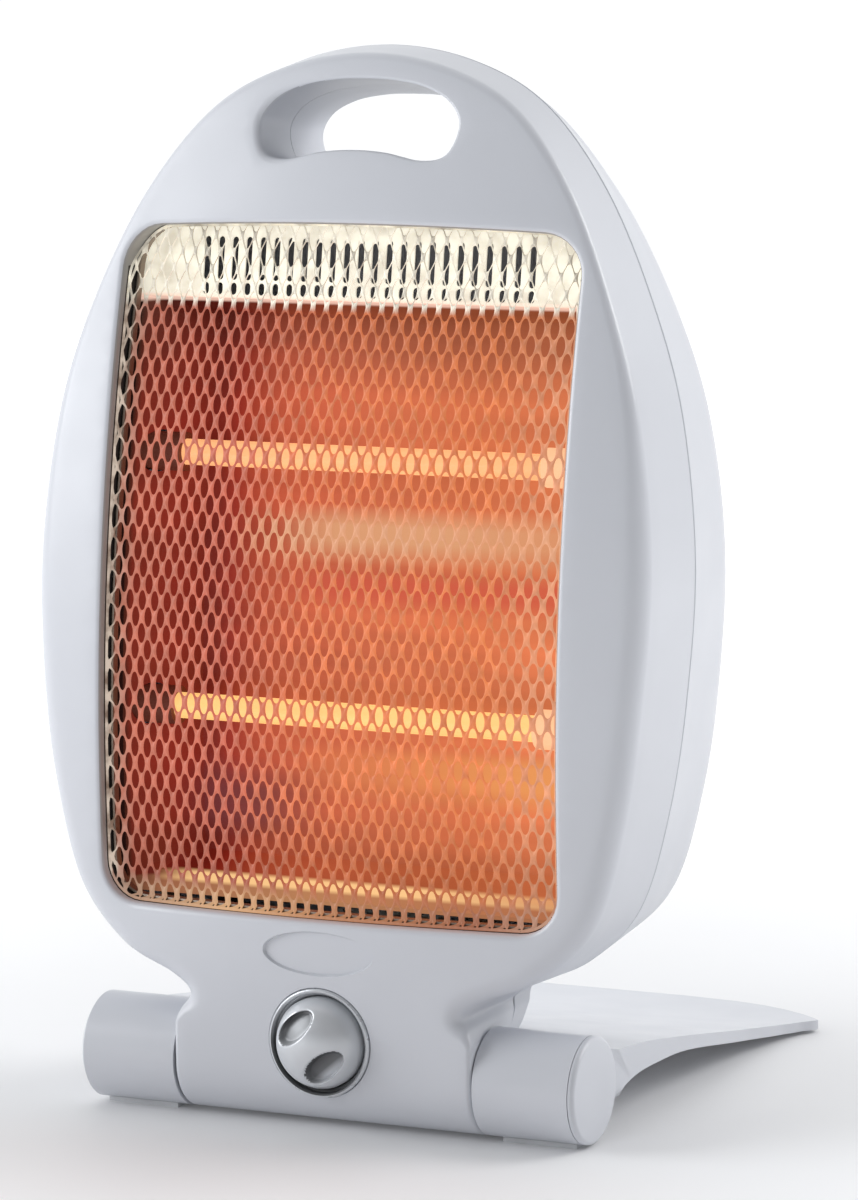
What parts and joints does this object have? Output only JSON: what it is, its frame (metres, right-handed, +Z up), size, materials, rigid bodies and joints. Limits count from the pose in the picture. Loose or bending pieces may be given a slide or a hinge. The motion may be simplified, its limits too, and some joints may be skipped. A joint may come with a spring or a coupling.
{
  "type": "quartz tube heater",
  "caption": "Folding-base electric quartz heater: egg-shaped head with handle hole, mesh guard, glowing tubes, reflector and rotary switch, tilting on a barrel-hinged stand.",
  "frame": {"origin": "on the floor plane, under the middle of the whole heater", "axes": "+Z up, -Y towards the user (the glowing face), +X to the right seen from the front"},
  "size_m": [0.2584, 0.26, 0.4055],
  "materials": {
    "housing": "smooth glossy moulding",
    "guard": "bright plated expanded metal",
    "rim": "bright plated",
    "reflector": "polished sheet",
    "steel": "zinc plated",
    "quartz": "clear quartz",
    "coil": "glowing resistance wire",
    "ceramic": "unglazed",
    "lead": "braided sleeve",
    "nylon": "moulded",
    "dark_plastic": "moulded",
    "dish": "bright plated",
    "knob": "silver, satin",
    "brass": "plain",
    "rubber": "moulded"
  },
  "bodies": {
    "stand_body": {"stand": "housing", "end_cap_left": "housing", "end_cap_right": "housing", "hinge_pin_left": "steel", "hinge_pin_right": "steel", "friction_washers": "brass", "hinge_nuts": "steel", "front_pads": "rubber", "rear_feet": "rubber"},
    "head": {"front_shell": "housing", "rear_shell": "housing", "guard": "guard", "guard_rim": "rim", "reflector": "reflector", "lamp_bracket_left": "steel", "lamp_bracket_right": "steel", "tube_upper": "quartz", "tube_lower": "quartz", "coil_upper": "coil", "coil_lower": "coil", "cap_upper_left": "ceramic", "cap_upper_right": "ceramic", "cap_lower_left": "ceramic", "cap_lower_right": "ceramic", "terminal_pins": "steel", "lead_common": "lead", "lead_upper": "lead", "lead_lower": "lead", "terminal_block": "nylon", "thermal_cutout": "dark_plastic", "rotary_switch": "dark_plastic", "tip_switch": "dark_plastic", "knob_dish": "dish", "cord_gland": "rubber", "housing_screws": "steel", "reflector_screws": "steel", "hinge_bearing_left": "dark_plastic", "hinge_bearing_right": "dark_plastic"},
    "knob": {"switch_shaft": "steel", "control_knob": "knob"}
  },
  "joints": [
    {"name": "head_tilt", "type": "hinge", "parent": "stand_body", "child": "head", "pos_m": [0, -0.097, 0.0215], "axis": [-1, 0, 0], "range_deg": [-5, 20]},
    {"name": "knob_turn", "type": "hinge", "parent": "head", "child": "knob", "pos_m": [0, -0.117, 0.0349], "axis": [0, -1, 0], "range_deg": [0, 90]}
  ]
}
